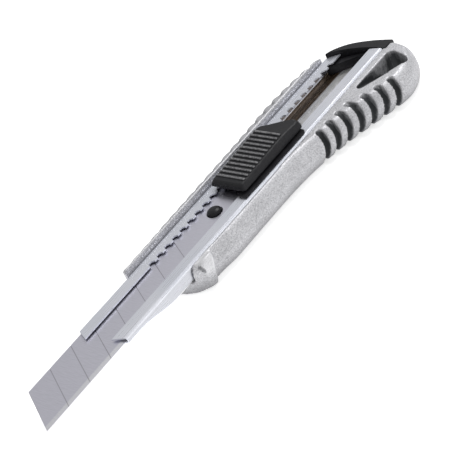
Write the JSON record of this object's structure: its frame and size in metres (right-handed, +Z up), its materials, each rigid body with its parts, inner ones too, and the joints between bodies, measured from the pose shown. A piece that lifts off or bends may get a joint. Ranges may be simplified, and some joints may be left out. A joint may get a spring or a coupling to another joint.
{
  "type": "utility knife",
  "caption": "Snap-off utility knife: metal handle with finger grooves, folded guide channel, segmented blade, ribbed locking slider and pull-off end cap.",
  "frame": {"origin": "bottom centre of the knife's box as modelled, with the blade 35 mm out", "axes": "+X along the knife towards the blade's tip, +Y towards the cutting edge and the grooved belly, +Z up out of the slotted face"},
  "size_m": [0.1844, 0.0404, 0.0148],
  "materials": {
    "cast_zinc": "die-cast zinc, satin and finely speckled",
    "channel_steel": "bright plated sheet steel",
    "blade_steel": "ground carbon steel",
    "spring_steel": "spring steel strip",
    "rivet_steel": "plated steel",
    "black_plastic": "black moulded plastic, slightly worn"
  },
  "bodies": {
    "handle": {"handle_body": "cast_zinc", "blade_channel": "channel_steel", "channel_rivet_front": "rivet_steel", "channel_rivet_rear": "rivet_steel"},
    "slider": {"snap_off_blade": "blade_steel", "blade_carrier": "black_plastic", "carrier_rivet": "rivet_steel", "slider_base": "black_plastic"},
    "button": {"slider_button": "black_plastic", "button_rivet": "rivet_steel", "lock_spring": "spring_steel"},
    "cap": {"end_cap": "black_plastic"}
  },
  "joints": [
    {"name": "slider_slide", "type": "slide", "parent": "handle", "child": "slider", "axis": [1, 0, 0], "range_m": [-0.04, 0.032]},
    {"name": "button_press", "type": "slide", "parent": "slider", "child": "button", "axis": [0, 0, -1], "range_m": [0, 0.0005], "stiffness_N_per_m": 6000, "springref_m": -0.0003},
    {"name": "cap_pull", "type": "slide", "parent": "handle", "child": "cap", "axis": [-1, 0, 0], "range_m": [0, 0.016]}
  ]
}
